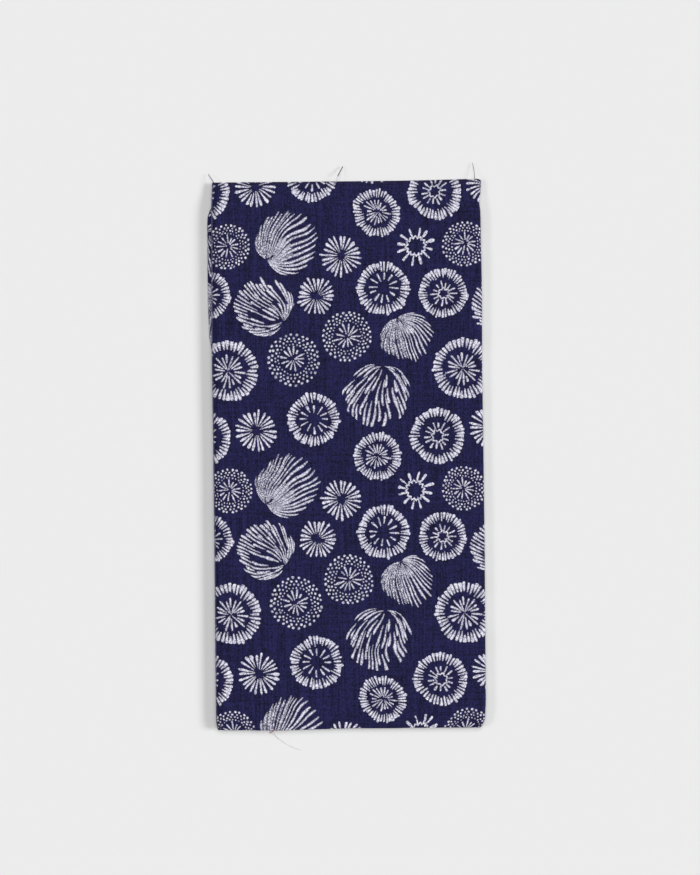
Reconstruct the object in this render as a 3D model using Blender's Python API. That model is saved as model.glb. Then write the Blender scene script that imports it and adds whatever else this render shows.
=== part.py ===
"""Folded tenugui: a narrow plain-woven cotton towel, folded into a flat stack.

The length of cloth is first pleated into four panels along its length. The strip of four layers
is then folded back and forth in three across its width, and that second fold is the section that
is modelled here: three runs joined by two folds, one solid. Each run stands for the strip's layers.
The panels with the cloth's raw ends are a little longer than the other two, so each run is thinner
near the +Y end.

Metres, +Z up. +Y runs along the stack towards the raw end of the top panel, and the open edge of
the top run lies on -X. The underside is flat on Z = 0, and the origin is below the middle.
"""
import math
from collections import namedtuple

import bmesh
import bpy
from mathutils import Vector

MM = 0.001

# The cut cloth and how it is folded.
CLOTH_WIDTH = 334.0
CLOTH_LENGTH = 878.0
PANELS_ALONG = 4
RUNS_ACROSS = 3
SHORT_BY = 11.0  # how far the middle fold along the length stops short of the raw ends
HALF_WIDTH = CLOTH_WIDTH / RUNS_ACROSS / 2
STACK_LENGTH = (CLOTH_LENGTH + 2 * SHORT_BY) / PANELS_ALONG
LAYER = 0.35
RUN_THICKNESS = PANELS_ALONG * LAYER
GAP = 0.3

# How the section is drawn. An open edge's last pair of points is half as far apart as the rest.
RUN_SPANS = 6
FOLD_STEPS = 7
STATION_SPACING = 6.0
EDGE_NARROWING = 0.5

CLOTH_BLUE = (0.018, 0.018, 0.065, 1.0)

# How far each run's centreline lies above its flat height at -X and at +X, in mm, from the bottom
# run up. The folds puff up a little because the cloth is springy.
Run = namedtuple("Run", "name rise_left rise_right")
RUNS = (
    Run("bottom", 0.00, 0.00),
    Run("middle", 0.15, 0.35),
    Run("top", 0.25, 0.50),
)

# How uneven the stack is, from its +Y end to its -Y end. from_end is the distance from the +Y end.
# The next four say how far each edge stands out beyond half the width of the stack (or short of
# it, if minus): the top run's open edge and the fold under it on -X, and the fold and the bottom
# run's open edge on +X. thickness is each run's, loft is the share of the runs' rises, and pinch
# is how much each face of a run draws in at the ends.
Station = namedtuple(
    "Station", "from_end top_edge left_fold right_fold bottom_edge thickness loft pinch"
)
STATIONS = (
    Station(0.0, -1.3, -1.9, 0.2, -1.3, 1.00, 0.2, 0.20),
    Station(0.9, -1.2, -1.8, 0.2, -1.2, 1.05, 0.3, 0.00),
    Station(6.7, -1.0, -1.5, -0.5, -1.4, 1.10, 0.4, 0.00),
    Station(SHORT_BY - 1.3, -0.8, -0.9, -1.1, -1.6, 1.20, 0.7, 0.00),
    Station(SHORT_BY + 0.9, -0.8, 0.6, -0.5, -1.0, RUN_THICKNESS, 1.0, 0.00),
    Station(15.2, -0.7, 0.9, -0.3, -0.9, RUN_THICKNESS, 1.1, 0.00),
    Station(48.7, -0.5, 1.2, 0.0, -0.9, RUN_THICKNESS, 0.9, 0.00),
    Station(67.7, -0.4, -0.2, -0.2, -1.0, RUN_THICKNESS, 0.7, 0.00),
    Station(112.7, -0.6, -0.8, 0.0, -1.1, RUN_THICKNESS, 0.5, 0.00),
    Station(148.7, -0.7, -0.9, 0.1, -1.0, RUN_THICKNESS, 0.8, 0.00),
    Station(212.7, -0.7, -0.9, -0.3, -1.2, RUN_THICKNESS, 1.1, 0.00),
    Station(221.5, -0.9, -1.1, -1.4, -1.8, RUN_THICKNESS, 0.9, 0.00),
    Station(223.9, -1.2, -1.5, -2.4, -2.6, RUN_THICKNESS, 0.6, 0.15),
    Station(STACK_LENGTH, -1.8, -2.1, -3.2, -3.4, RUN_THICKNESS, 0.4, 0.45),
)


def clear_objects():
    """Empties the file of the objects that it opened with."""
    for thing in list(bpy.data.objects):
        bpy.data.objects.remove(thing, do_unlink=True)


def all_stations():
    """The stations of the table and those between them, evenly blended."""
    stations = [STATIONS[0]]
    for start, end in zip(STATIONS, STATIONS[1:]):
        count = max(1, math.ceil((end.from_end - start.from_end) / STATION_SPACING))
        for step in range(1, count + 1):
            part = step / count
            eased = part * part * (3 - 2 * part)
            shares = [part if name == "from_end" else eased for name in Station._fields]
            blended = [a + (b - a) * share for a, b, share in zip(start, end, shares)]
            stations.append(Station(*blended))
    return stations


def run_points(start, end, height_start, height_end):
    """Points along one run's centreline, each with the way up as its normal."""
    points = []
    for step in range(RUN_SPANS + 1):
        part = step / RUN_SPANS
        across = start + (end - start) * part
        height = height_start + (height_end - height_start) * part
        points.append((Vector((across, height)), Vector((0, 1))))
    return points


def fold_points(centre, radius, side):
    """Points round a half-turn that goes down on the given side, with normals pointing out."""
    points = []
    for step in range(1, FOLD_STEPS):
        turn = math.pi * step / FOLD_STEPS
        out = Vector((side * math.sin(turn), math.cos(turn)))
        points.append((centre + out * radius, out * side))
    return points


def centreline(station):
    """The back-and-forth line through the runs, from the top open edge down to the bottom one.

    Each point has a normal. It points up on the top run and keeps to the same face of the cloth
    all the way, so it points down on the middle run.
    """
    half = station.thickness / 2
    pitch = station.thickness + GAP
    lefts = [half + pitch * place + run.rise_left * station.loft for place, run in enumerate(RUNS)]
    rights = [half + pitch * place + run.rise_right * station.loft for place, run in enumerate(RUNS)]
    bottom_left, middle_left, top_left = lefts
    bottom_right, middle_right, top_right = rights

    right_radius = (top_right - middle_right) / 2
    left_radius = (middle_left - bottom_left) / 2
    right = HALF_WIDTH + station.right_fold - half - right_radius
    left = -HALF_WIDTH - station.left_fold + half + left_radius
    top_end = -HALF_WIDTH - station.top_edge + half
    bottom_end = HALF_WIDTH + station.bottom_edge - half

    line = run_points(top_end, right, top_left, top_right)
    line += fold_points(Vector((right, (top_right + middle_right) / 2)), right_radius, 1)
    line += [(place, -up) for place, up in run_points(right, left, middle_right, middle_left)]
    line += fold_points(Vector((left, (middle_left + bottom_left) / 2)), left_radius, -1)
    line += run_points(left, bottom_end, bottom_left, bottom_right)
    return line


def section(station):
    """The cut across the stack at one station, as pairs of points on the cloth's two faces.

    The open edges are rounded off by one narrower pair beyond each end of the centreline.
    """
    half = station.thickness / 2 - station.pinch
    line = centreline(station)
    pairs = [(place + out * half, place - out * half) for place, out in line]
    reach = Vector((station.thickness / 2, 0))
    narrow = Vector((0, half * EDGE_NARROWING))
    top_edge = line[0][0] - reach
    bottom_edge = line[-1][0] + reach
    pairs.insert(0, (top_edge + narrow, top_edge - narrow))
    pairs.append((bottom_edge + narrow, bottom_edge - narrow))
    return pairs


def build_cloth():
    """The folded cloth as one closed solid, swept from station to station along Y."""
    cloth = bmesh.new()
    rows = []
    for station in all_stations():
        y = (STACK_LENGTH / 2 - station.from_end) * MM
        row = []
        for pair in section(station):
            row.append([cloth.verts.new((x * MM, y, z * MM)) for x, z in pair])
        rows.append(row)

    for near, far in zip(rows, rows[1:]):
        for face in (0, 1):
            for left, right in zip(range(len(near)), range(1, len(near))):
                cloth.faces.new(
                    (near[left][face], near[right][face], far[right][face], far[left][face])
                )
        for edge in (0, -1):
            cloth.faces.new((near[edge][0], near[edge][1], far[edge][1], far[edge][0]))
    for row in (rows[0], rows[-1]):
        for here, there in zip(row, row[1:]):
            cloth.faces.new((here[0], there[0], there[1], here[1]))

    bmesh.ops.recalc_face_normals(cloth, faces=cloth.faces)
    bmesh.ops.triangulate(cloth, faces=cloth.faces)
    return cloth


def centre_over_origin(cloth):
    """Moves the stack so that the middle of its box lies over the origin."""
    for axis in (0, 1):
        places = [point.co[axis] for point in cloth.verts]
        shift = Vector((0, 0, 0))
        shift[axis] = -(min(places) + max(places)) / 2
        bmesh.ops.translate(cloth, verts=cloth.verts, vec=shift)


def cloth_material():
    """Plain dyed cotton: matt, with no metal."""
    material = bpy.data.materials.new("dyed_cotton")
    material.use_nodes = True
    shader = material.node_tree.nodes["Principled BSDF"]
    shader.inputs["Base Color"].default_value = CLOTH_BLUE
    shader.inputs["Roughness"].default_value = 0.9
    shader.inputs["Metallic"].default_value = 0.0
    return material


def main():
    clear_objects()
    cloth = build_cloth()
    centre_over_origin(cloth)
    mesh = bpy.data.meshes.new("tenugui_cloth")
    cloth.to_mesh(mesh)
    cloth.free()
    mesh.materials.append(cloth_material())
    mesh.shade_smooth()
    mesh.set_sharp_from_angle(angle=math.radians(40))
    towel = bpy.data.objects.new("tenugui_cloth", mesh)
    bpy.context.scene.collection.objects.link(towel)


main()
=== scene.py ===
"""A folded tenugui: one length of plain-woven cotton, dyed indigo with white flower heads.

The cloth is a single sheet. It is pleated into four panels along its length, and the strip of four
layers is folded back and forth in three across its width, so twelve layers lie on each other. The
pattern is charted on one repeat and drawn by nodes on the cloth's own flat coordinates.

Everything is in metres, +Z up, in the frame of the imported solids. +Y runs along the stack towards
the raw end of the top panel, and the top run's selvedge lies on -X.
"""
import logging
import math
from dataclasses import dataclass, field
from enum import Enum
from typing import Union

import bmesh
import bpy
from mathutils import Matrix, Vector, noise


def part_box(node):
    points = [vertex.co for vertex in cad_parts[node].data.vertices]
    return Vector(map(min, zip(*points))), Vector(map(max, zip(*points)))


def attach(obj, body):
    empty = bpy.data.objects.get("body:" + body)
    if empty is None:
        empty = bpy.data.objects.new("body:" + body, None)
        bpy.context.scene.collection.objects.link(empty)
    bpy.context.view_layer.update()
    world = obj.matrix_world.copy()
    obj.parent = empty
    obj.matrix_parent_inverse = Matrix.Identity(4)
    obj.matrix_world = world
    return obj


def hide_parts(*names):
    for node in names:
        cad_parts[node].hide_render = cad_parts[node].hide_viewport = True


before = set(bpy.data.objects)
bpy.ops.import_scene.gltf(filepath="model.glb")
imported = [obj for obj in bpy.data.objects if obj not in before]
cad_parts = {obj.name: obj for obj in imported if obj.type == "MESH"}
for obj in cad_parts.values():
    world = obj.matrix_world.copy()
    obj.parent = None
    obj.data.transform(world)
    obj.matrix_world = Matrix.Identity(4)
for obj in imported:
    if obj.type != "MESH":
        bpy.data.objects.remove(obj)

LOG = logging.getLogger("tenugui")
MM = 0.001
NODE = "tenugui_cloth"
FLAT_MAP = "flat_cloth"
BAKE_MAP = "OFBake"
CLOTH_WIDTH_MM = 334.0
CLOTH_LENGTH_MM = 878.0

Number = Union["Wire", float]
Colour = tuple[float, float, float, float]


def blank_material(name: str) -> tuple[bpy.types.Material, bpy.types.Node]:
    """A new material and its shader.

    Args:
        name: The material's name.

    Returns:
        The material and the shader.
    """
    material = bpy.data.materials.new(name)
    material.use_nodes = True
    return material, material.node_tree.nodes["Principled BSDF"]


def placed(name: str, data: bpy.types.ID) -> bpy.types.Object:
    """A new object in the scene.

    Args:
        name: The object's name.
        data: Its mesh, curve, lamp or camera.

    Returns:
        The object.
    """
    thing = bpy.data.objects.new(name, data)
    bpy.context.scene.collection.objects.link(thing)
    return thing


# --- numbers in a node tree -------------------------------------------------------------------


class Wire:
    """A number that nodes carry: arithmetic on it adds the Math nodes that work it out."""

    def __init__(self, chart: "Chart", socket: bpy.types.NodeSocket) -> None:
        """Keeps the output socket and the chart that it belongs to."""
        self.chart = chart
        self.socket = socket

    def __add__(self, other: Number) -> "Wire":
        """The sum."""
        return self.chart.math("ADD", self, other)

    __radd__ = __add__

    def __sub__(self, other: Number) -> "Wire":
        """The difference."""
        return self.chart.math("SUBTRACT", self, other)

    def __rsub__(self, other: Number) -> "Wire":
        """The difference, from a plain number."""
        return self.chart.math("SUBTRACT", other, self)

    def __mul__(self, other: Number) -> "Wire":
        """The product."""
        return self.chart.math("MULTIPLY", self, other)

    __rmul__ = __mul__

    def __truediv__(self, other: Number) -> "Wire":
        """The quotient."""
        return self.chart.math("DIVIDE", self, other)

    def __abs__(self) -> "Wire":
        """The size without its sign."""
        return self.chart.math("ABSOLUTE", self)

    def __gt__(self, other: Number) -> "Wire":
        """One where this number is the greater, otherwise nought."""
        return self.chart.math("GREATER_THAN", self, other)

    def __lt__(self, other: Number) -> "Wire":
        """One where this number is the smaller, otherwise nought."""
        return self.chart.math("LESS_THAN", self, other)


class Chart:
    """Builds one node tree out of plain calls."""

    def __init__(self, tree: bpy.types.NodeTree) -> None:
        """Keeps the tree that nodes are added to.

        Args:
            tree: A material's node tree, or a node group.
        """
        self.tree = tree

    def plug(self, socket: bpy.types.NodeSocket, value: object) -> None:
        """Links a wire or sets a plain value.

        Args:
            socket: The input socket.
            value: A wire, a number or a tuple of numbers.
        """
        if isinstance(value, Wire):
            self.tree.links.new(value.socket, socket)
        else:
            socket.default_value = value

    def node(self, kind: str, values: dict, **settings: object) -> bpy.types.Node:
        """Adds a node.

        Args:
            kind: The node's type, such as ShaderNodeMath.
            values: What goes into each input, by its name or number.
            **settings: The node's own options.

        Returns:
            The new node.
        """
        node = self.tree.nodes.new(kind)
        for name, setting in settings.items():
            setattr(node, name, setting)
        for key, value in values.items():
            self.plug(node.inputs[key], value)
        return node

    def math(self, operation: str, *terms: Number) -> Wire:
        """The result of a Math node, given its operation and its inputs in order."""
        node = self.node("ShaderNodeMath", dict(enumerate(terms)), operation=operation)
        return Wire(self, node.outputs[0])

    def vector(self, operation: str, *terms: object) -> Wire:
        """The result of a Vector Math node: a length is a number, and all else is a vector."""
        node = self.node("ShaderNodeVectorMath", dict(enumerate(terms)), operation=operation)
        return Wire(self, node.outputs["Value" if operation == "LENGTH" else "Vector"])

    def split(self, vector: Wire) -> tuple[Wire, Wire, Wire]:
        """The three numbers of a vector."""
        node = self.node("ShaderNodeSeparateXYZ", {0: vector})
        return tuple(Wire(self, output) for output in node.outputs)

    def join(self, x: Number, y: Number, z: Number = 0.0) -> Wire:
        """A vector of three numbers."""
        node = self.node("ShaderNodeCombineXYZ", {0: x, 1: y, 2: z})
        return Wire(self, node.outputs[0])

    def between(self, value: Number, start: Number, end: Number, smooth: bool = False) -> Wire:
        """How far a value has gone from start to end, held between nought and one.

        Args:
            value: The number that is placed.
            start: Where the result is nought.
            end: Where the result is one.
            smooth: Whether it eases in and out.

        Returns:
            The share of the way.
        """
        kind = "SMOOTHSTEP" if smooth else "LINEAR"
        terms = {"Value": value, "From Min": start, "From Max": end}
        node = self.node("ShaderNodeMapRange", terms, interpolation_type=kind, clamp=True)
        return Wire(self, node.outputs["Result"])

    def mix(self, share: Number, low: Number, high: Number) -> Wire:
        """The blend of two numbers: low where the share is nought, and high where it is one."""
        node = self.node("ShaderNodeMix", {0: share, 2: low, 3: high}, data_type="FLOAT")
        return Wire(self, node.outputs[0])

    def mix_colour(self, share: Number, low: object, high: object) -> Wire:
        """The blend of two colours, in the same way."""
        node = self.node("ShaderNodeMix", {0: share, 6: low, 7: high}, data_type="RGBA")
        return Wire(self, node.outputs[2])

    def either(self, first: Number, *others: Number) -> Wire:
        """The greatest of several numbers.

        Args:
            first: One of them.
            *others: The rest.

        Returns:
            The greatest.
        """
        for other in others:
            first = self.math("MAXIMUM", first, other)
        return first

    def cloud(self, vector: Wire, scale: float, detail: float = 2.0, roughness: float = 0.5) -> Wire:
        """Smooth noise about one half.

        Args:
            vector: Where it is read.
            scale: How many lumps there are to each unit.
            detail: How many finer steps are added.
            roughness: How strong the finer steps are.

        Returns:
            The noise.
        """
        terms = {"Vector": vector, "Scale": scale, "Detail": detail, "Roughness": roughness}
        node = self.node("ShaderNodeTexNoise", terms, noise_dimensions="3D")
        return Wire(self, node.outputs[0])

    def chance(self, first: Number, second: Number) -> tuple[Wire, Wire, Wire]:
        """Three random numbers that depend on two others alone.

        Args:
            first: A whole number, such as a petal's.
            second: Another, such as the motif's.

        Returns:
            Three numbers from nought to one.
        """
        where = self.join(first, second)
        node = self.node("ShaderNodeTexWhiteNoise", {"Vector": where}, noise_dimensions="2D")
        return self.split(Wire(self, node.outputs["Color"]))


# --- the pattern ------------------------------------------------------------------------------


class Kind(Enum):
    """The kinds of motif in the print."""

    RING = "a ring of short petals round a heart"
    BURST = "a flower of long petals"
    DOTS = "rows of dots round a star"
    COG = "a star of knobbed rods"
    SHELL = "a wide tuft of long thin strands"
    BRUSH = "a tuft of short broad strokes"
    BALL = "a close round tuft"
    PLUME = "a drooping tuft"


class Heart(Enum):
    """What lies inside a ring of petals. The value is the whole part of the motif's mark."""

    DASHES = 1
    RAYS = 2
    CORONA = 3


@dataclass(frozen=True)
class Motif:
    """One motif on the chart of the repeat, in millimetres.

    Attributes:
        kind: What is drawn.
        across: Its middle's place across the cloth.
        down: Its middle's place along the cloth, from the raw end.
        reach: Its outer radius.
        turn: How far it is turned to the right, in whole turns over nought.
        heart: What lies inside it, if it is a ring.
    """

    kind: Kind
    across: float
    down: float
    reach: float
    turn: float
    heart: Heart = Heart.DASHES

    @property
    def mark(self) -> float:
        """One number that carries both the heart and the turn."""
        return self.heart.value + self.turn


REPEAT_ACROSS = 97.0
REPEAT_DOWN = 100.0

# Columns: kind, across, down, reach, turn and heart.
MOTIFS = (
    Motif(Kind.BURST, 18.0, 2.0, 8.8, 0.11),
    Motif(Kind.RING, 42.0, -2.5, 11.2, 0.37, Heart.DASHES),
    Motif(Kind.RING, 68.3, 13.0, 10.0, 0.62, Heart.RAYS),
    Motif(Kind.RING, 93.2, 4.8, 11.6, 0.91, Heart.CORONA),
    Motif(Kind.DOTS, 6.8, 26.4, 9.2, 0.23),
    Motif(Kind.SHELL, 30.3, 24.5, 13.4, 0.13),
    Motif(Kind.BURST, 53.1, 30.5, 8.7, 0.55),
    Motif(Kind.COG, 83.7, 27.0, 7.9, 0.18),
    Motif(Kind.BRUSH, 21.6, 51.3, 11.9, 0.85),
    Motif(Kind.BURST, 42.9, 47.0, 8.1, 0.71),
    Motif(Kind.RING, 70.3, 44.0, 11.2, 0.44, Heart.DASHES),
    Motif(Kind.RING, 94.9, 46.2, 10.3, 0.83, Heart.CORONA),
    Motif(Kind.RING, 6.8, 77.3, 12.8, 0.29, Heart.RAYS),
    Motif(Kind.DOTS, 33.8, 73.0, 10.8, 0.66),
    Motif(Kind.DOTS, 55.7, 63.5, 10.2, 0.35),
    Motif(Kind.BALL, 80.4, 64.2, 10.8, 0.43),
    Motif(Kind.PLUME, 68.0, 87.0, 13.5, 0.52),
)


@dataclass(frozen=True)
class Petals:
    """A ring of petals in a motif of radius one.

    Attributes:
        count: How many there are.
        inner: Where they start.
        outer: Where they end.
        uneven: How much their ends vary.
        narrow: Half a petal's width at its inner end.
        wide: Half its width at its outer end.
        missing: The share of them that is left out.
    """

    count: int
    inner: float
    outer: float
    uneven: float
    narrow: float
    wide: float
    missing: float = 0.0


@dataclass(frozen=True)
class Tier:
    """One tier of a tuft's strokes, which lie along curving rays from the tuft's root.

    Attributes:
        rays: How many rays there are to a half turn at the root.
        low: Where the tier starts, in half turns from the tuft's axis at the root.
        high: Where it ends.
        inner: Where strokes start, as a share of the way from the root to the rim.
        outer: Where they end.
        uneven: How much their ends vary.
        narrow: Half a stroke's width at its inner end.
        wide: Half its width at its outer end.
        missing: The share of strokes that is left out.
        specks: How much of it is lost to specks of dye.
    """

    rays: float
    low: float
    high: float
    inner: float
    outer: float
    uneven: float
    narrow: float
    wide: float
    missing: float = 0.0
    specks: float = 0.0


@dataclass(frozen=True)
class Tuft:
    """A tuft of strokes in a motif of radius one.

    Attributes:
        bend: How much its rays turn towards its axis.
        tiers: Its tiers of strokes.
    """

    bend: float
    tiers: tuple[Tier, ...]


@dataclass(frozen=True)
class Band:
    """A thin closed line in a motif of radius one.

    Attributes:
        radius: Its middle radius.
        half_width: Half its width.
        points: How many points it has.
        depth: How far it swings in and out at each point.
    """

    radius: float
    half_width: float
    points: int
    depth: float


# Columns of petals: count, inner, outer, uneven, narrow and wide. Of a band: radius, half_width,
# points and depth.
RING_PETALS = Petals(43, 0.65, 0.97, 0.13, 0.012, 0.073)
RING_DASHES = Petals(12, 0.26, 0.55, 0.10, 0.014, 0.042)
RING_RAYS = Petals(18, 0.14, 0.50, 0.28, 0.014, 0.036)
CORONA_RAYS = Petals(14, 0.20, 0.50, 0.20, 0.016, 0.034)
CORONA_BAND = Band(0.20, 0.025, 7, 0.030)
BURST_PETALS = Petals(22, 0.27, 0.96, 0.22, 0.010, 0.082)
DOTS_STAR = Petals(13, 0.14, 0.48, 0.22, 0.018, 0.038)
COG_RODS = Petals(12, 0.44, 0.97, 0.16, 0.034, 0.098)
COG_BAND = Band(0.45, 0.046, 12, 0.06)

# Columns of a tier: rays, low, high, inner, outer, uneven, narrow, wide, missing and specks.
TUFTS = {
    Kind.SHELL: Tuft(
        1.15,
        (
            Tier(15.0, -0.24, 0.66, 0.10, 0.98, 0.14, 0.012, 0.036, 0.05),
            Tier(18.0, -0.62, -0.20, 0.08, 0.95, 0.16, 0.014, 0.046, 0.0, 0.75),
            Tier(25.0, -0.16, 0.62, 0.08, 0.44, 0.30, 0.010, 0.026, 0.15, 0.50),
        ),
    ),
    Kind.BRUSH: Tuft(
        0.95,
        (
            Tier(22.0, -0.62, 0.62, 0.66, 0.98, 0.26, 0.008, 0.050, 0.10),
            Tier(16.0, -0.62, 0.58, 0.38, 0.74, 0.28, 0.008, 0.044, 0.22),
            Tier(10.0, -0.60, 0.60, 0.08, 0.42, 0.22, 0.010, 0.038, 0.10),
        ),
    ),
    Kind.BALL: Tuft(
        1.10,
        (
            Tier(15.0, -0.66, 0.10, 0.10, 0.97, 0.20, 0.010, 0.038, 0.04),
            Tier(19.0, 0.02, 0.64, 0.08, 0.96, 0.12, 0.016, 0.050, 0.0, 0.75),
            Tier(24.0, -0.60, 0.08, 0.08, 0.40, 0.26, 0.012, 0.028, 0.20, 0.50),
        ),
    ),
    Kind.PLUME: Tuft(
        1.20,
        (
            Tier(19.0, -0.64, 0.62, 0.64, 0.98, 0.34, 0.008, 0.046, 0.12),
            Tier(12.0, -0.62, 0.62, 0.36, 0.74, 0.34, 0.008, 0.048, 0.18),
            Tier(8.0, -0.62, 0.62, 0.10, 0.46, 0.26, 0.008, 0.042, 0.12),
        ),
    ),
}


Row = Union[Petals, Tier]


class Print(Chart):
    """Draws the whole pattern as a mask: one where the cloth stays white.

    Attributes:
        edge_softness: Half the width over which an edge fades, in a motif's radii.
        dot_rows: How many rows of dots go round a star.
        dots_around: How many dots each row has.
        first_row: Where the first row of dots starts, in a motif's radii.
        row_pitch: How far apart the rows lie.
        root: How far below a tuft's middle its strokes start.
    """

    edge_softness: float = 0.016
    dot_rows: int = 4
    dots_around: int = 28
    first_row: float = 0.525
    row_pitch: float = 0.122
    root: float = 0.82

    def __init__(self, tree: bpy.types.NodeTree, place: Wire) -> None:
        """Keeps the tree and what all motifs share.

        Args:
            tree: The material's node tree.
            place: The point on the flat cloth, in millimetres.
        """
        super().__init__(tree)
        self.place = place
        self.vigour = (self.cloud(place, 0.30, detail=1.0) - 0.5) * 1.5 + 0.86
        self.fleck = self.cloud(place, 2.0, detail=0.0)
        self.stray = (self.cloud(place, 0.07, detail=0.0) - 0.5) * 0.45

    def spots(self, kind: Kind) -> tuple[Wire, Wire, Wire]:
        """Where a point lies in the nearest motif of one kind.

        Args:
            kind: The kind of motif.

        Returns:
            Its place from the motif's middle in the motif's radii, across and down, and the
            motif's mark, which is nought outside all of them.
        """
        half = (REPEAT_ACROSS / 2, REPEAT_DOWN / 2, 0.0)
        minus_half = (-REPEAT_ACROSS / 2, -REPEAT_DOWN / 2, 0.0)
        found = (0.0, 0.0, 0.0)
        for motif in (each for each in MOTIFS if each.kind is kind):
            away = self.vector("SUBTRACT", self.place, (motif.across, motif.down, 0.0))
            away = self.vector("WRAP", away, half, minus_half)
            inside = self.vector("LENGTH", away) < motif.reach * 1.04
            scale = 1 / motif.reach
            local = self.vector("MULTIPLY_ADD", away, (scale, scale, 0.0), (0.0, 0.0, motif.mark))
            found = self.vector("MULTIPLY_ADD", local, inside, found)
        return self.split(found)

    def polar(self, kind: Kind) -> tuple[Wire, Wire, Wire]:
        """Where a point lies round the middle of the nearest motif of one kind.

        Args:
            kind: The kind of motif.

        Returns:
            The distance, the share of a turn, which is never negative, and the motif's mark.
        """
        x, y, mark = self.spots(kind)
        distance = self.vector("LENGTH", self.join(x, y))
        return distance, self.math("ARCTAN2", y, x) / math.tau + mark, mark

    def soft(self, inside: Wire) -> Wire:
        """A mask with a soft edge, from how far inside the edge a point lies."""
        return self.between(inside, -self.edge_softness, self.edge_softness)

    def strokes(
        self, along: Wire, number: Wire, place: Wire, pitch: Wire, mark: Wire, row: Row
    ) -> Wire:
        """Draws a row of uneven strokes, pointed at the inner end and blunt at the outer one.

        Args:
            along: How far along the strokes a point lies.
            number: Which stroke it belongs to.
            place: The point's place across the row, one to a stroke.
            pitch: How far apart strokes lie there, in the motif's radii.
            mark: The motif's mark, for its own unevenness.
            row: The strokes' sizes.

        Returns:
            The mask.
        """
        first, second, third = self.chance(number, mark * 97.0 + row.inner * 171.0)
        inner = (first - 0.5) * row.uneven + row.inner
        outer = (second - 0.5) * (row.uneven * 0.7) + row.outer
        share = self.between(along, inner, outer)
        half_width = self.mix(share, row.narrow, row.wide) * (first * 0.5 + 0.75) * self.vigour
        rounding = self.math("SQRT", 1.0 - self.math("POWER", share, 9.0))
        sideways = abs(self.math("FRACT", place) - 0.5 + (third - 0.5) * 0.28) * pitch
        mask = self.soft(half_width * rounding - sideways)
        if row.missing:
            mask = mask * (self.math("FRACT", second * 13.0) > row.missing)
        return mask * (share > 0.001) * (share < 0.999)

    def petals(self, distance: Wire, around: Wire, mark: Wire, ring: Petals) -> Wire:
        """Draws a ring of petals.

        Args:
            distance: Distance from the motif's middle.
            around: Share of a turn around it.
            mark: The motif's mark.
            ring: The petals' sizes.

        Returns:
            The mask.
        """
        place = around * ring.count
        number = self.math("MODULO", self.math("FLOOR", place), float(ring.count))
        return self.strokes(distance, number, place, distance * (math.tau / ring.count), mark, ring)

    def band(self, distance: Wire, around: Wire, line: Band) -> Wire:
        """Draws a thin closed line that swings in and out."""
        swing = abs(self.math("FRACT", around * line.points) - 0.5) * (4 * line.depth) - line.depth
        return self.soft(line.half_width - abs(distance - swing - line.radius))

    def dots(self, distance: Wire, around: Wire, mark: Wire) -> Wire:
        """Draws rows of dots, those of each row between those of the next.

        Args:
            distance: Distance from the motif's middle.
            around: Share of a turn around it.
            mark: The motif's mark, for its own unevenness.

        Returns:
            The mask.
        """
        row = self.math("FLOOR", (distance - self.first_row) / self.row_pitch)
        shifted = around * self.dots_around + row * 0.5
        number = self.math("MODULO", self.math("FLOOR", shifted), float(self.dots_around))
        size, drift, lift = self.chance(number + row * 31.0, mark * 53.0)
        row_distance = row * self.row_pitch + (self.first_row + self.row_pitch / 2)
        sideways = (self.math("FRACT", shifted) - 0.5 + (drift - 0.5) * 0.3) * row_distance
        outwards = distance - row_distance + (lift - 0.5) * 0.035
        apart = self.vector("LENGTH", self.join(sideways * (math.tau / self.dots_around), outwards))
        radius = size * 0.012 + row * 0.007 + 0.019
        return self.soft(radius - apart) * (row > -0.5) * (row < self.dot_rows - 0.5)

    def tuft(self, x: Wire, y: Wire, mark: Wire, tuft: Tuft) -> Wire:
        """Draws a tuft: tiers of strokes along rays that leave the root and turn to the axis.

        Args:
            x: Place across, with the tuft upright.
            y: Place up, with the tuft upright.
            mark: The motif's mark.
            tuft: The tuft's bend and tiers.

        Returns:
            The mask.
        """
        up = y + self.root
        distance = self.vector("LENGTH", self.join(x, up)) + 0.001
        sine = x / distance
        chord = self.math("SQRT", 1.0 - sine * sine * self.root**2) + up / distance * self.root
        along = distance / chord
        opening = distance * (tuft.bend / (1 + self.root)) + 1.0
        ray = self.math("ARCTAN2", x, up) / math.pi * opening
        spread = distance / opening * math.pi
        masks = []
        for tier in tuft.tiers:
            place = ray * tier.rays
            number = self.math("FLOOR", place)
            mask = self.strokes(along, number, place, spread / tier.rays, mark, tier)
            mask = mask * (ray > tier.low) * (ray < tier.high)
            if tier.specks:
                lost = self.between(self.fleck, 0.52, 0.46) * tier.specks
                mask = mask * (1.0 - lost)
            masks.append(mask)
        return self.either(*masks)

    def upright(self, x: Wire, y: Wire, mark: Wire) -> tuple[Wire, Wire]:
        """Turns a motif's coordinates so that its fan stands up.

        Args:
            x: Place across.
            y: Place down.
            mark: The motif's mark.

        Returns:
            The turned place, across and up.
        """
        angle = mark * math.tau
        cos = self.math("COSINE", angle)
        sin = self.math("SINE", angle)
        return x * cos + y * sin, x * sin - y * cos

    def rings(self) -> Wire:
        """Draws the rings of petals, with their hearts.

        Returns:
            The mask.
        """
        distance, around, mark = self.polar(Kind.RING)
        dashes = self.petals(distance, around, mark, RING_DASHES) * (mark < 2.0)
        rays = self.petals(distance, around, mark, RING_RAYS) * (mark > 2.0) * (mark < 3.0)
        corona = self.either(
            self.petals(distance, around, mark, CORONA_RAYS),
            self.band(distance, around, CORONA_BAND),
        )
        petals = self.petals(distance, around, mark, RING_PETALS)
        return self.either(petals, dashes, rays, corona * (mark > 3.0)) * (mark > 0.0)

    def bursts(self) -> Wire:
        """Draws the flowers of long petals."""
        distance, around, mark = self.polar(Kind.BURST)
        return self.petals(distance, around, mark, BURST_PETALS) * (mark > 0.0)

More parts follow.
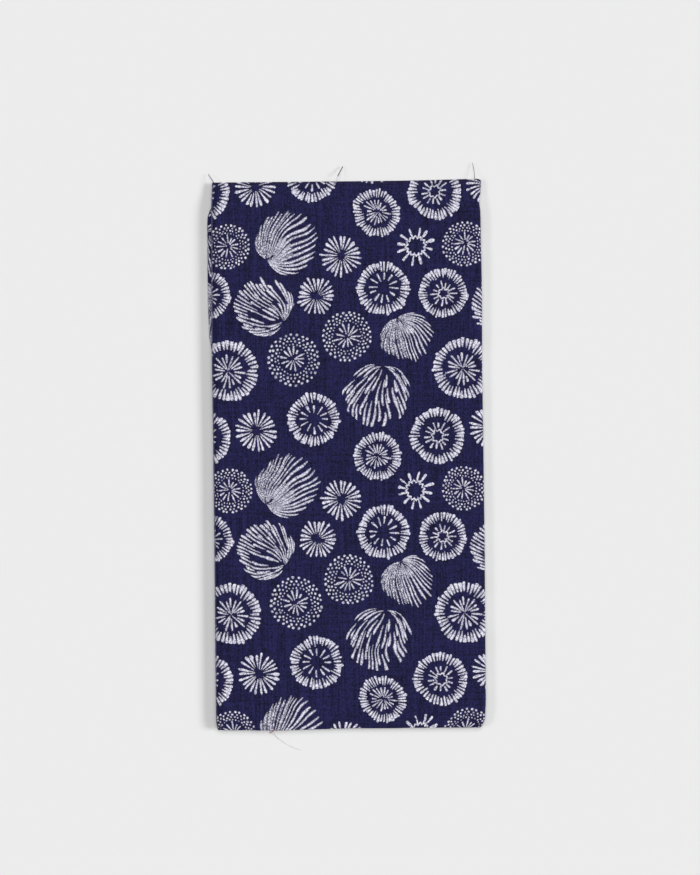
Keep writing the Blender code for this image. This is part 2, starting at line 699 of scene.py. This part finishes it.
    def dotted_stars(self) -> Wire:
        """Draws the rows of dots round stars.

        Returns:
            The mask.
        """
        distance, around, mark = self.polar(Kind.DOTS)
        star = self.petals(distance, around, mark, DOTS_STAR)
        return self.either(self.dots(distance, around, mark), star) * (mark > 0.0)

    def cogs(self) -> Wire:
        """Draws the stars of knobbed rods.

        Returns:
            The mask.
        """
        distance, around, mark = self.polar(Kind.COG)
        rods = self.petals(distance, around, mark, COG_RODS)
        return self.either(rods, self.band(distance, around, COG_BAND)) * (mark > 0.0)

    def tufts(self, kind: Kind) -> Wire:
        """Draws the tufts of one kind.

        Args:
            kind: The kind of tuft.

        Returns:
            The mask.
        """
        x, y, mark = self.spots(kind)
        across, up = self.upright(x, y, mark)
        return self.tuft(across + self.stray, up, mark, TUFTS[kind]) * (mark > 0.0)

    def draw(self) -> Wire:
        """Draws every motif of the repeat, as the mask of the white parts."""
        flowers = (self.rings(), self.bursts(), self.dotted_stars(), self.cogs())
        return self.either(*flowers, *(self.tufts(kind) for kind in TUFTS))


# --- the finishes -----------------------------------------------------------------------------


@dataclass(frozen=True)
class DyedCotton:
    """Plain-woven cotton with a white print on indigo.

    Attributes:
        indigo: The dyed ground.
        deep_indigo: The ground where the dye took more.
        undyed: The white of the print.
        half_dyed: The specks where dye crept into the white, and the selvedge.
        yarn_pitch: How far apart the yarns are, in millimetres.
        yarn_relief: How high a yarn stands over the gaps, in metres.
        selvedge: How wide the pale selvedge is, in millimetres.
        selvedge_paleness: The share of the half-dyed colour in it.
        drift: How far motifs wander, in millimetres.
        raggedness: How far their edges do.
        gap_shade: The painted shade in the gaps between yarns, as a share of the yarns' colour.
        pulled_across: Where the print starts to be pulled aside, and from where it is in full.
        pulled_along: The same along the cloth, up to the fold.
        pulled_to: The same beyond the fold, where the pull fades out.
        pulled_by: How far it is pulled.
    """

    indigo: Colour = (0.0190, 0.0180, 0.1010, 1.0)
    deep_indigo: Colour = (0.0006, 0.0006, 0.0080, 1.0)
    undyed: Colour = (0.91, 0.895, 1.0, 1.0)
    half_dyed: Colour = (0.16, 0.16, 0.29, 1.0)
    yarn_pitch: float = 0.38
    yarn_relief: float = 0.00006
    selvedge: float = 0.5
    selvedge_paleness: float = 0.55
    drift: float = 1.1
    raggedness: float = 0.50
    gap_shade: float = 0.65
    pulled_across: tuple[float, float] = (30.0, 70.0)
    pulled_along: tuple[float, float] = (200.0, 221.0)
    pulled_to: tuple[float, float] = (228.0, 240.0)
    pulled_by: float = -1.8

    def weave(self, chart: Chart, place: Wire) -> tuple[Wire, Wire]:
        """Draws the plain weave: each yarn rises over every other one that it crosses.

        Args:
            chart: The material's builder.
            place: The point on the flat cloth, in millimetres.

        Returns:
            The height of the yarns, from nought to one, and a random number for each crossing.
        """
        wander = chart.cloud(place, 0.45, detail=1.0) * 0.9
        across, along, _ = chart.split(place)
        warp = across / self.yarn_pitch + wander
        weft = along / self.yarn_pitch + wander
        warp_number, weft_number = chart.math("FLOOR", warp), chart.math("FLOOR", weft)
        heights = []
        crossed = ((warp, warp_number, weft), (weft, weft_number + 1.0, warp))
        for own, number, other in crossed:
            crown = chart.math("SINE", chart.math("FRACT", own) * math.pi)
            over = chart.math("SINE", (other + number) * math.pi) * 0.5 + 0.5
            heights.append(crown * over)
        crossing, _, _ = chart.chance(warp_number, weft_number)
        return chart.either(*heights), crossing

    def slubs(self, chart: Chart, place: Wire) -> Wire:
        """Draws long thin streaks where a yarn is thicker or took more dye.

        Args:
            chart: The material's builder.
            place: The point on the flat cloth, in millimetres.

        Returns:
            The streaks, about one half.
        """
        upright = chart.cloud(chart.vector("MULTIPLY", place, (1.35, 0.045, 0.0)), 1.0, detail=2.0)
        level = chart.cloud(chart.vector("MULTIPLY", place, (0.06, 1.5, 0.0)), 1.0, detail=1.0)
        return chart.mix(0.35, upright, level)

    def pull(self, chart: Chart, place: Wire) -> Wire:
        """How far the print is pulled askew, which it is near one fold of the top panel.

        Args:
            chart: The material's builder.
            place: The point on the flat cloth, in millimetres.

        Returns:
            The shift, as a vector.
        """
        across, along, _ = chart.split(place)
        fading = chart.between(along, self.pulled_to[1], self.pulled_to[0])
        share = chart.between(across, *self.pulled_across, smooth=True)
        share *= chart.between(along, *self.pulled_along, smooth=True) * fading
        return chart.join(share * self.pulled_by, 0.0)

    def material(self) -> bpy.types.Material:
        """Builds the cloth's material.

        Returns:
            The material.
        """
        material, shader = blank_material("dyed_cotton")
        chart = Chart(material.node_tree)
        flat = chart.node("ShaderNodeUVMap", {}, uv_map=FLAT_MAP)
        place = Wire(chart, flat.outputs[0])

        shaken = place
        for scale, detail, amount in ((0.11, 0.0, self.drift), (2.1, 1.0, self.raggedness)):
            terms = {"Vector": place, "Scale": scale, "Detail": detail}
            shake = chart.node("ShaderNodeTexNoise", terms)
            offset = chart.vector("SUBTRACT", Wire(chart, shake.outputs["Color"]), (0.5, 0.5, 0.5))
            shaken = chart.vector("MULTIPLY_ADD", offset, (amount, amount, 0.0), shaken)
        shaken = chart.vector("ADD", shaken, self.pull(chart, place))
        white = Print(material.node_tree, shaken).draw()

        height, crossing = self.weave(chart, place)
        slubs = self.slubs(chart, place)
        mottle = chart.cloud(place, 1.1, detail=3.0, roughness=0.75)
        cover = chart.between(crossing * 0.6 + mottle, 0.42, 0.96)
        pale = chart.mix_colour(cover, self.half_dyed, self.undyed)

        depth = chart.between(slubs * 1.6 + crossing * 0.6 + mottle * 0.35, 0.88, 1.66)
        ground = chart.mix_colour(depth, self.deep_indigo, self.indigo)
        colour = chart.mix_colour(white, ground, pale)
        across, _, _ = chart.split(place)
        edge = chart.math("MINIMUM", across, CLOTH_WIDTH_MM - across)
        paleness = (edge < self.selvedge) * self.selvedge_paleness
        colour = chart.mix_colour(paleness, colour, self.half_dyed)
        # Painted shade: the colour is darkened in the low gaps between the yarns, where shade falls.
        gaps = chart.between(height, 0.0, 0.5) * (1.0 - self.gap_shade) + self.gap_shade
        chart.plug(shader.inputs["Base Color"], chart.vector("MULTIPLY", colour, gaps))

        relief = {"Distance": self.yarn_relief, "Height": height + slubs * 0.8, "Strength": 1.0}
        bump = chart.node("ShaderNodeBump", relief)
        chart.plug(shader.inputs["Normal"], Wire(chart, bump.outputs[0]))
        shader.inputs["Roughness"].default_value = 0.92
        shader.inputs["Specular IOR Level"].default_value = 0.25
        shader.inputs["Sheen Weight"].default_value = 0.05
        shader.inputs["Sheen Roughness"].default_value = 0.45
        return material


@dataclass(frozen=True)
class YarnFinish:
    """A loose yarn's cotton: plain, with its dye in flecks.

    Attributes:
        name: The material's name.
        dark: The dyed flecks.
        pale: What lies between them.
    """

    name: str
    dark: Colour
    pale: Colour

    def material(self) -> bpy.types.Material:
        """Builds the yarn's material.

        Returns:
            The material.
        """
        material, shader = blank_material(self.name)
        chart = Chart(material.node_tree)
        own = chart.node("ShaderNodeTexCoord", {})
        flecks = chart.cloud(Wire(chart, own.outputs["Object"]), 420.0, detail=1.0)
        colour = chart.mix_colour(chart.between(flecks, 0.42, 0.58), self.dark, self.pale)
        chart.plug(shader.inputs["Base Color"], colour)
        shader.inputs["Roughness"].default_value = 0.9
        return material


# --- the cloth --------------------------------------------------------------------------------


@dataclass(frozen=True)
class Station:
    """How the edges of the stack lie at one place along it, in millimetres.

    Attributes:
        from_end: Distance from the +Y end.
        top_edge: How far the top run's selvedge stands out beyond half the stack's width.
        left_fold: The same for the fold under it, on -X.
        right_fold: The same for the fold on +X.
        bottom_edge: The same for the bottom run's selvedge, on +X.
        loft: The share of the runs' rises at the folds.
        settle: The share of the stack's full height.
    """

    from_end: float
    top_edge: float
    left_fold: float
    right_fold: float
    bottom_edge: float
    loft: float
    settle: float

    def blend(self, other: "Station", share: float) -> "Station":
        """The station part of the way to another one, eased.

        Args:
            other: The station at the far end.
            share: How far towards it.

        Returns:
            The blend.
        """
        eased = share * share * (3 - 2 * share)
        pairs = zip(vars(self).values(), vars(other).values())
        return Station(*(low + (high - low) * eased for low, high in pairs))


# Columns: from_end, top_edge, left_fold, right_fold, bottom_edge, loft and settle.
STATIONS = (
    Station(0.0, -1.1, -2.0, 0.1, -1.6, 0.2, 0.62),
    Station(6.7, -0.9, -1.6, -0.3, -1.7, 0.4, 0.84),
    Station(9.7, -0.8, -0.7, -0.8, -1.8, 0.7, 0.96),
    Station(11.9, -0.8, 0.8, -0.4, -1.2, 1.0, 1.0),
    Station(15.2, -0.7, 1.1, -0.3, -1.1, 1.1, 1.0),
    Station(48.7, -0.5, 1.2, 0.0, -1.1, 0.9, 0.99),
    Station(61.5, -0.4, 0.8, -0.1, -1.2, 0.8, 0.98),
    Station(71.5, -0.4, -0.5, -0.2, -1.2, 0.7, 0.97),
    Station(112.7, -0.6, -1.0, 0.0, -1.3, 0.5, 0.96),
    Station(148.7, -0.7, -1.1, 0.1, -1.2, 0.8, 0.98),
    Station(212.7, -0.7, -1.1, 0.0, -1.4, 1.1, 1.0),
    Station(221.5, -0.8, -1.2, -0.4, -1.7, 0.9, 1.0),
    Station(223.9, -1.0, -1.4, -1.1, -2.3, 0.6, 0.99),
    Station(225.0, -1.4, -1.8, -2.1, -3.0, 0.4, 0.98),
)


@dataclass(frozen=True)
class Stop:
    """A place on a path of runs and folds.

    Attributes:
        run: The run's number, or the number of the run before the fold.
        share: How far along the run it is.
        angle: How far round the fold it is, in radians, or minus one on a run.
    """

    run: int
    share: float
    angle: float = -1.0

    @property
    def folding(self) -> bool:
        """Whether it lies on a fold."""
        return self.angle >= 0.0


def stops_along(runs: int, steps: int, fold_steps: int) -> list[Stop]:
    """The places where a path of runs and folds is sampled.

    Args:
        runs: How many runs there are.
        steps: How many steps each run has.
        fold_steps: How many steps each fold has.

    Returns:
        The places in order, with the ends of runs standing for those of folds.
    """
    stops = []
    for run in range(runs):
        stops += [Stop(run, step / steps) for step in range(steps + 1)]
        if run < runs - 1:
            turns = [math.pi * step / fold_steps for step in range(1, fold_steps)]
            stops += [Stop(run, 1.0, angle) for angle in turns]
    return stops


@dataclass(frozen=True)
class Crease:
    """A soft ridge or trough across the stack, in millimetres.

    Attributes:
        across: Its middle's place on X.
        along: Its middle's place on Y.
        heading: The way that it runs, in degrees from +X.
        length: How long it is.
        width: How wide it is.
        rise: How high it stands, or how deep it lies if it is negative.
    """

    across: float
    along: float
    heading: float
    length: float
    width: float
    rise: float

    def lift(self, x: float, y: float) -> float:
        """How far it lifts a point, in millimetres.

        Args:
            x: The point's place across.
            y: The point's place along.

        Returns:
            The lift.
        """
        angle = math.radians(self.heading)
        dx, dy = x - self.across, y - self.along
        forward = dx * math.cos(angle) + dy * math.sin(angle)
        aside = dy * math.cos(angle) - dx * math.sin(angle)
        return self.rise * math.exp(-((forward / self.length) ** 2) - (aside / self.width) ** 2)


# Columns: across, along, heading, length, width and rise.
CREASES = (
    Crease(-20.0, 2.0, 86.0, 70.0, 9.0, -0.16),
    Crease(25.0, -30.0, 95.0, 60.0, 11.0, 0.14),
    Crease(34.0, 62.0, 70.0, 28.0, 6.0, 0.16),
    Crease(-32.0, 78.0, 118.0, 24.0, 6.0, -0.12),
    Crease(4.0, 96.0, 4.0, 40.0, 3.5, 0.18),
    Crease(-28.0, -78.0, 62.0, 26.0, 7.0, 0.14),
    Crease(30.0, -92.0, 128.0, 22.0, 6.0, -0.14),
    Crease(0.0, -104.0, 2.0, 42.0, 4.0, 0.16),
)


# On the baking map: the margin, and how far the cloth's cut rim is spread, as it has no width of its
# own on the flat cloth.
BAKE_MARGIN = 0.01
RIM_WIDTH = 0.002
NO_WIDTH = 1e-4


@dataclass(frozen=True)
class Leaf:
    """A part of the flat cloth that has a place of its own on the baking map.

    Attributes:
        across: The first and last place across the cloth, in millimetres.
        down: The first and last place along it.
        left: Where it starts on the map.
        right: Where it ends on the map.
    """

    across: tuple[float, float]
    down: tuple[float, float]
    left: float
    right: float

    def holds(self, across: float, down: float) -> bool:
        """Whether a place on the flat cloth is on this leaf."""
        in_width = self.across[0] <= across <= self.across[1]
        return in_width and self.down[0] <= down <= self.down[1]

    def spot(self, across: float, down: float) -> tuple[float, float]:
        """The place on the baking map of a place on the flat cloth.

        Args:
            across: The place across the cloth, in millimetres.
            down: The place along it.

        Returns:
            The place on the map.
        """
        sideways = (across - self.across[0]) / (self.across[1] - self.across[0])
        downwards = (down - self.down[0]) / (self.down[1] - self.down[0])
        span = 1.0 - 2 * BAKE_MARGIN
        return self.left + (self.right - self.left) * sideways, BAKE_MARGIN + span * downwards


LEAVES = (
    Leaf((0.0, 118.0), (0.0, 227.0), 0.01, 0.46),
    Leaf((218.0, CLOTH_WIDTH_MM), (651.0, CLOTH_LENGTH_MM), 0.48, 0.76),
    Leaf((0.0, CLOTH_WIDTH_MM), (0.0, CLOTH_LENGTH_MM), 0.78, 0.99),
)


@dataclass
class FoldedCloth:
    """The one sheet of cloth, folded twice over. Sizes are in millimetres.

    Attributes:
        thickness: The cloth's own.
        layer_pitch: How far apart the four layers of the strip lie.
        run_pitch: How far apart the three runs lie.
        stack_width: The width that it is folded to.
        stack_length: The length that it is folded to.
        pleat_ends: Where each panel starts and ends on Y, from the top one down.
        rises: How far the runs lie above their flat height at -X and +X, from the bottom run up.
        layer_tucks: How far each layer's selvedges are tucked in behind the top layer's.
        steady_half: How far from the middle the cloth keeps to its straight course along Y.
        end_reach: How far beyond that its ends reach.
        wander: How far the ends wander in and out.
        wander_length: How long each such wave is.
        run_steps: How many steps each run is divided into across.
        fold_steps: The same for each fold between runs.
        panel_steps: The same for each panel along the cloth.
        pleat_steps: The same for each pleat between panels.
        columns: The places across the cloth, worked out from these.
        rows: The places along it.
    """

    thickness: float = 0.26
    layer_pitch: float = 0.35
    run_pitch: float = 1.70
    stack_width: float = CLOTH_WIDTH_MM / 3
    stack_length: float = 225.0
    pleat_ends: tuple[tuple[float, float], ...] = (
        (112.4, -112.1),
        (-112.1, 101.2),
        (101.2, -111.6),
        (-111.6, 111.5),
    )
    rises: tuple[tuple[float, float], ...] = ((0.0, 0.0), (0.15, 0.35), (0.25, 0.50))
    layer_tucks: tuple[float, ...] = (0.0, 0.45, 0.25, 0.7)
    steady_half: float = 60.0
    end_reach: float = 52.0
    wander: float = 0.55
    wander_length: float = 26.0
    run_steps: int = 34
    fold_steps: int = 10
    panel_steps: int = 72
    pleat_steps: int = 6
    columns: list[Stop] = field(default_factory=list)
    rows: list[Stop] = field(default_factory=list)

    def __post_init__(self) -> None:
        """Works out where the cloth is sampled."""
        self.columns = stops_along(3, self.run_steps, self.fold_steps)
        self.rows = stops_along(4, self.panel_steps, self.pleat_steps)

    @property
    def strip_half(self) -> float:
        """Half the thickness of the strip of four layers."""
        return 1.5 * self.layer_pitch + self.thickness / 2

    def station(self, y: float) -> Station:
        """The table of stations, read at one place.

        Args:
            y: The place along the stack.

        Returns:
            The station there.
        """
        from_end = min(max(self.stack_length / 2 - y, 0.0), self.stack_length)
        for near, far in zip(STATIONS, STATIONS[1:]):
            if from_end <= far.from_end:
                return near.blend(far, (from_end - near.from_end) / (far.from_end - near.from_end))
        return STATIONS[-1]

    def along(self, row: Stop) -> tuple[float, float, float]:
        """Where a row of the cloth lies along the stack.

        Args:
            row: The row's place.

        Returns:
            Its place on Y, its height over the strip's middle, and its place along the flat cloth.
        """
        radius = self.layer_pitch / 2
        lengths = [abs(end - start) for start, end in self.pleat_ends]
        stretch = (CLOTH_LENGTH_MM - 3 * math.pi * radius) / sum(lengths)
        start, end = self.pleat_ends[row.run]
        level = (1.5 - row.run) * self.layer_pitch
        flat = sum(lengths[: row.run]) * stretch + row.run * math.pi * radius
        if not row.folding:
            y = start + (end - start) * row.share
            return y, level, flat + lengths[row.run] * row.share * stretch
        way = math.copysign(1.0, end - start)
        y = end + way * radius * math.sin(row.angle)
        height = level - radius + radius * math.cos(row.angle)
        return y, height, flat + lengths[row.run] * stretch + radius * row.angle

    def tuck(self, row: Stop) -> float:
        """How far a row's selvedges are tucked in.

        Args:
            row: The row's place.

        Returns:
            The distance.
        """
        own = self.layer_tucks[row.run]
        if not row.folding:
            return own
        share = row.angle / math.pi
        return own + (self.layer_tucks[row.run + 1] - own) * share

    def across(self, column: Stop, y: float, height: float, tuck: float) -> tuple[float, float, float]:
        """Where a column of the cloth lies across the stack.

        Args:
            column: The column's place.
            y: The place along the stack.
            height: The layer's height over the strip's middle.
            tuck: How far the layer's selvedges are tucked in.

        Returns:
            Its place on X and Z, and its place across the flat cloth.
        """
        edges = self.station(y)
        half = self.stack_width / 2
        levels = [self.strip_half + self.run_pitch * run for run in range(3)]
        bottom, middle, top = (
            (level + left * edges.loft, level + right * edges.loft)
            for level, (left, right) in zip(levels, self.rises)
        )
        right_radius = (top[1] - middle[1]) / 2
        left_radius = (middle[0] - bottom[0]) / 2
        right = half + edges.right_fold - right_radius - self.strip_half
        left = -half - edges.left_fold + left_radius + self.strip_half
        first = -half - edges.top_edge + tuck
        last = half + edges.bottom_edge - tuck

        turns = (math.pi * (right_radius + height), math.pi * (left_radius - height))
        spans = (right - first, right - left, last - left)
        stretch = (CLOTH_WIDTH_MM - sum(turns)) / sum(spans)
        flat = sum(spans[: column.run]) * stretch + sum(turns[: column.run])
        if column.folding:
            flat += spans[column.run] * stretch
            if column.run == 0:
                reach, centre = right_radius + height, (right, (top[1] + middle[1]) / 2)
                out = reach
            else:
                reach, centre = left_radius - height, (left, (middle[0] + bottom[0]) / 2)
                out = -reach
            x = centre[0] + out * math.sin(column.angle)
            return x, centre[1] + reach * math.cos(column.angle), flat + reach * column.angle
        start, end, (low, high), side = (
            (first, right, top, 1),
            (right, left, middle[::-1], -1),
            (left, last, bottom, 1),
        )[column.run]
        x = start + (end - start) * column.share
        z = low + (high - low) * column.share + side * height
        return x, z, flat + spans[column.run] * stretch * column.share

    def end_wave(self, x: float, y: float, layer: float) -> float:
        """How far the stack's ends wander on Y.

        Args:
            x: The place across.
            y: The place along.
            layer: A number for the layer, so that layers differ.

        Returns:
            The shift.
        """
        reach = max(0.0, (abs(y) - self.steady_half) / self.end_reach) ** 2
        seed = Vector((x / self.wander_length, layer * 3.7, 5.0 if y > 0 else 9.0))
        wander = noise.noise(seed) * self.wander
        if y > 0:  # the raw end rises towards its right corner, which is rounded off
            corner = max(0.0, (x - 53.5) / 2.0)
            bow = 0.25 + 0.5 * max(0.0, x / 51.0) ** 3 - 0.6 * corner * corner
            return reach * (bow + (wander * 0.6 - 0.3 if layer > 0.6 else 0.0))
        # The folded end draws in at its left corner and all along its right half.
        left_corner = max(0.0, (-x - 30.0) / 25.0)
        drawn_in = 0.7 * min(max((x + 30.0) / 30.0, 0.0), 1.0)
        bow = 0.45 * left_corner * left_corner - 0.1 * x / 55.0 + 0.25 + drawn_in
        return reach * (bow + (wander + 0.15 if layer > 1.2 else wander * 0.5))

    def place(self, column: Stop, row: Stop) -> tuple[Vector, tuple[float, float]]:
        """Where one point of the cloth lies.

        Args:
            column: Its place across the cloth.
            row: Its place along the cloth.

        Returns:
            The point in metres, and its place on the flat cloth in millimetres.
        """
        y, height, flat_down = self.along(row)
        x, z, flat_across = self.across(column, y, height, self.tuck(row))
        edges = self.station(y)
        middle = self.thickness / 2
        z = middle + (z - middle) * edges.settle
        share = (z - middle) / (self.strip_half + 2 * self.run_pitch)
        z += share * sum(crease.lift(x, y) for crease in CREASES)
        layer = row.run + (row.angle / math.pi if row.folding else 0.0)
        y += self.end_wave(x, y, layer + column.run * 1.3)
        return Vector((x, y, z)) * MM, (flat_across, flat_down)

    def build(self, material: bpy.types.Material) -> bpy.types.Object:
        """Makes the cloth.

        Args:
            material: Its finish.

        Returns:
            The cloth's object.
        """
        sheet = bmesh.new()
        columns, rows = len(self.columns), len(self.rows)
        bmesh.ops.create_grid(sheet, x_segments=columns - 1, y_segments=rows - 1, size=0.5)
        flat_map = sheet.loops.layers.uv.new(FLAT_MAP)
        spots = {}
        for vert in sheet.verts:
            column = round((vert.co.x + 0.5) * (columns - 1))
            row = round((0.5 - vert.co.y) * (rows - 1))
            vert.co, spots[vert] = self.place(self.columns[column], self.rows[row])
        for face in sheet.faces:
            face.smooth = True
            for loop in face.loops:
                loop[flat_map].uv = spots[loop.vert]
        thin = bpy.data.meshes.new("thin_cloth")
        sheet.to_mesh(thin)
        sheet.free()
        cloth = placed("cloth", thin)
        body = cloth.modifiers.new("body", "SOLIDIFY")
        body.thickness = self.thickness * MM
        body.offset = 0.0
        solid = cloth.evaluated_get(bpy.context.evaluated_depsgraph_get())
        mesh = bpy.data.meshes.new_from_object(solid)
        cloth.modifiers.clear()
        cloth.data = mesh
        bpy.data.meshes.remove(thin)
        mesh.name = "cloth"
        mesh.materials.append(material)
        self.lay_out(mesh, columns * rows)
        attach(cloth, "root")
        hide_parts(NODE)
        return cloth

    def lay_out(self, mesh: bpy.types.Mesh, front_points: int) -> None:
        """Adds the map for baking, where what shows of the cloth has the most room.

        Args:
            mesh: The cloth's mesh, with its flat map.
            front_points: How many points its first face has. The rest are its other face's.
        """
        sheet = bmesh.new()
        sheet.from_mesh(mesh)
        flat_map = sheet.loops.layers.uv[FLAT_MAP]
        bake_map = sheet.loops.layers.uv.new(BAKE_MAP)
        middle = Vector((CLOTH_WIDTH_MM, CLOTH_LENGTH_MM)) / 2
        for face in sheet.faces:
            flats = [Vector(loop[flat_map].uv) for loop in face.loops]
            centre = sum(flats, Vector((0.0, 0.0))) / len(flats)
            leaf = next(leaf for leaf in LEAVES if leaf.holds(*centre))
            nudge = Vector((0.0, 0.0))
            for axis in (0, 1):
                reach = max(flat[axis] for flat in flats) - min(flat[axis] for flat in flats)
                if reach < NO_WIDTH:
                    nudge[axis] = math.copysign(RIM_WIDTH, centre[axis] - middle[axis])
            for loop, flat in zip(face.loops, flats):
                spot = Vector(leaf.spot(*flat))
                on_back = loop.vert.index >= front_points
                loop[bake_map].uv = spot + nudge if on_back else spot
        sheet.to_mesh(mesh)
        sheet.free()


class Lint(Enum):
    """What a loose yarn looks like."""

    DYED = YarnFinish("dyed_yarn", (0.020, 0.020, 0.060, 1.0), (0.07, 0.07, 0.13, 1.0))
    PALE = YarnFinish("pale_yarn", (0.55, 0.55, 0.60, 1.0), (0.80, 0.80, 0.82, 1.0))
    GREY = YarnFinish("grey_yarn", (0.06, 0.06, 0.09, 1.0), (0.30, 0.30, 0.34, 1.0))
    RUST = YarnFinish("rust_lint", (0.22, 0.06, 0.05, 1.0), (0.32, 0.12, 0.10, 1.0))
    FINE = YarnFinish("fine_yarn", (0.42, 0.42, 0.44, 1.0), (0.62, 0.62, 0.64, 1.0))


@dataclass(frozen=True)
class Yarn:
    """A loose yarn. Sizes are in millimetres.

    Attributes:
        finish: What it looks like.
        radius: Half its thickness at its root.
        route: The points that it passes through, from its root.
    """

    finish: Lint
    radius: float
    route: tuple[tuple[float, float, float], ...]


# Columns: finish, radius and route.
YARNS = (
    Yarn(
        Lint.DYED,
        0.16,
        ((-53.7, 112.2, 3.3), (-54.5, 113.7, 3.0), (-55.5, 115.2, 2.2), (-56.1, 116.3, 1.4)),
    ),
    Yarn(Lint.PALE, 0.10, ((-3.9, 111.9, 3.6), (-3.5, 113.5, 3.5), (-2.9, 115.0, 3.1))),
    Yarn(Lint.DYED, 0.19, ((-3.0, 114.8, 3.1), (-2.1, 116.7, 2.3), (-0.9, 119.0, 1.0))),
    Yarn(
        Lint.GREY,
        0.13,
        ((53.0, 112.0, 3.4), (53.1, 114.2, 3.0), (53.0, 116.8, 2.0), (52.4, 120.1, 0.8)),
    ),
    Yarn(Lint.RUST, 0.20, ((-33.0, -113.1, 4.5), (-32.0, -112.3, 5.1), (-30.6, -111.6, 5.15))),
    Yarn(
        Lint.FINE,
        0.075,
        (
            (-32.2, -111.9, 2.0),
            (-31.2, -114.2, 0.5),
            (-29.6, -116.0, 0.2),
            (-27.4, -117.6, 0.15),
            (-24.2, -119.5, 0.15),
            (-20.6, -120.9, 0.15),
        ),
    ),
)


@dataclass(frozen=True)
class LooseYarns:
    """The few yarns that have worked loose, and a fleck of lint.

    Attributes:
        roundness: How many times each quarter of a yarn's section is divided.
        smoothness: How many pieces each span of a route has.
        taper: The share of its thickness that a yarn loses towards its tip.
    """

    roundness: int = 2
    smoothness: int = 6
    taper: float = 0.35

    def build(self) -> bpy.types.Object:
        """Makes the yarns, as one piece.

        Returns:
            The yarns' object.
        """
        curve = bpy.data.curves.new("loose_yarns", "CURVE")
        curve.dimensions = "3D"
        curve.bevel_depth = MM
        curve.bevel_resolution = self.roundness
        curve.use_fill_caps = True
        finishes = list(Lint)
        for finish in finishes:
            curve.materials.append(finish.value.material())
        for yarn in YARNS:
            spline = curve.splines.new("NURBS")
            spline.points.add(len(yarn.route) - 1)
            for number, (point, place) in enumerate(zip(spline.points, yarn.route)):
                point.co = (*(Vector(place) * MM), 1.0)
                point.radius = yarn.radius * (1.0 - self.taper * number / len(yarn.route))
            spline.order_u = 3
            spline.use_endpoint_u = True
            spline.resolution_u = self.smoothness
            spline.material_index = finishes.index(yarn.finish)
        yarns = placed("loose_yarns", curve)
        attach(yarns, "root")
        return yarns


# --- the studio -------------------------------------------------------------------------------


@dataclass(frozen=True)
class Lamp:
    """A soft lamp far away.

    Attributes:
        name: The lamp's name.
        power: Its strength.
        across: How far it stands towards +X for each metre up.
        along: How far it stands towards +Y for each metre up.
        spread: How wide it looks, in degrees.
    """

    name: str
    power: float
    across: float
    along: float
    spread: float


@dataclass(frozen=True)
class Studio:
    """A pale floor, soft light and a camera that looks straight down. Sizes are in metres.

    Attributes:
        frame_height: How much of the cloth's plane the picture is high.
        camera_height: How high the camera hangs.
        aim_across: Where it hangs on X.
        aim_along: Where it hangs on Y.
        roll: How far it is turned about its line of sight, in degrees.
        floor_size: How wide and long the floor is.
        floor_colour: The floor's colour.
        sky: The strength of the faint light from all round.
        lamps: The lamps.
    """

    frame_height: float = 0.3579
    camera_height: float = 0.95
    aim_across: float = 0.0010
    aim_along: float = 0.0076
    roll: float = -0.55
    floor_size: float = 24.0
    floor_colour: Colour = (0.787, 0.787, 0.787, 1.0)
    sky: float = 0.08
    lamps: tuple[Lamp, ...] = (
        Lamp("top", 1.62, 0.0, 0.27, 38.0),
        Lamp("key", 1.78, 1.22, 0.0, 22.0),
        Lamp("fill", 0.58, -1.0, 0.0, 16.0),
    )

    def build(self, top: float) -> None:
        """Makes the floor, the lights and the camera.

        Args:
            top: The height of the cloth's top, where the camera's scale is set.
        """
        scene = bpy.context.scene
        scene.view_settings.view_transform = "Standard"
        self.floor()
        self.lights()
        data = bpy.data.cameras.new("camera")
        data.sensor_width = 36.0
        data.lens = data.sensor_width * (self.camera_height - top) / self.frame_height
        camera = placed("camera", data)
        camera.location = (self.aim_across, self.aim_along, self.camera_height)
        camera.rotation_euler = (0.0, 0.0, math.radians(self.roll))
        scene.camera = camera

    def floor(self) -> None:
        """Makes the floor."""
        plane = bmesh.new()
        bmesh.ops.create_grid(plane, x_segments=1, y_segments=1, size=self.floor_size / 2)
        mesh = bpy.data.meshes.new("floor")
        plane.to_mesh(mesh)
        plane.free()
        material, shader = blank_material("pale_floor")
        shader.inputs["Base Color"].default_value = self.floor_colour
        shader.inputs["Roughness"].default_value = 1.0
        shader.inputs["Specular IOR Level"].default_value = 0.0
        mesh.materials.append(material)
        placed("floor", mesh)

    def lights(self) -> None:
        """Makes the soft light: a broad lamp above, one at each side and a faint sky."""
        world = bpy.data.worlds.new("sky")
        world.use_nodes = True
        backdrop = world.node_tree.nodes["Background"]
        backdrop.inputs["Color"].default_value = (1.0, 1.0, 1.0, 1.0)
        backdrop.inputs["Strength"].default_value = self.sky
        bpy.context.scene.world = world

        for lamp in self.lamps:
            data = bpy.data.lights.new(lamp.name, "SUN")
            data.energy = lamp.power
            data.angle = math.radians(lamp.spread)
            place = Vector((lamp.across, lamp.along, 1.0))
            placed(lamp.name, data).rotation_euler = place.to_track_quat("Z", "Y").to_euler()


def main() -> None:
    """Builds the towel and its studio."""
    logging.basicConfig(level=logging.INFO, format="%(message)s")
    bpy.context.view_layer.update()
    cloth = FoldedCloth().build(DyedCotton().material())
    LOG.info("%s: %d faces", cloth.name, len(cloth.data.polygons))
    yarns = LooseYarns().build()
    LOG.info("%s: %d yarns", yarns.name, len(yarns.data.splines))
    Studio().build(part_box(NODE)[1][2])


if __name__ == "__main__":
    main()
